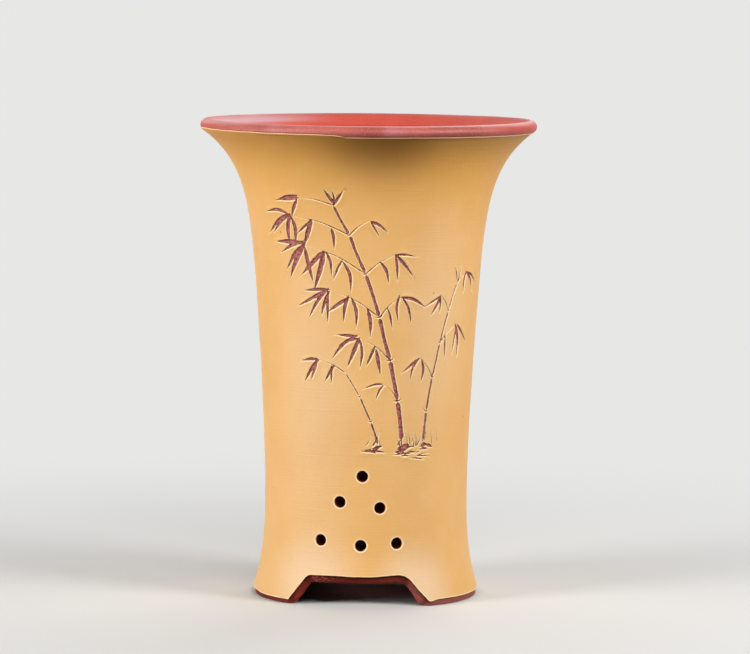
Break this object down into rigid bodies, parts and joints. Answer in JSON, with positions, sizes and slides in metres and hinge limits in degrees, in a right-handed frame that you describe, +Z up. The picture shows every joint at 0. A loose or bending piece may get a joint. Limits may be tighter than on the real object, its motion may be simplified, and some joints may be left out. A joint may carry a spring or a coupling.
{
  "type": "planter pot",
  "caption": "Tall waisted planter pot of unglazed red clay under an ochre coat, with a wide flared mouth, a rounded lip, arched feet, vents low on the wall and a drain hole.",
  "frame": {"origin": "on the table, at the pot's axis", "axes": "+Z up along the pot's axis, -Y towards the front arch, +X to the right seen from the front"},
  "size_m": [0.15, 0.15, 0.2125],
  "materials": {
    "red_clay": "unglazed, fine grained, matt",
    "lip_clay": "unglazed, burnished to a soft sheen",
    "ochre_coat": "matt slip coat with a soft sheen"
  },
  "bodies": {
    "root": {"clay_wall": "red_clay", "lip_ring": "lip_clay", "floor_disc": "red_clay", "corner_coil": "red_clay", "left_foot": "red_clay", "right_foot": "red_clay", "ochre_coat": "ochre_coat"}
  },
  "joints": []
}
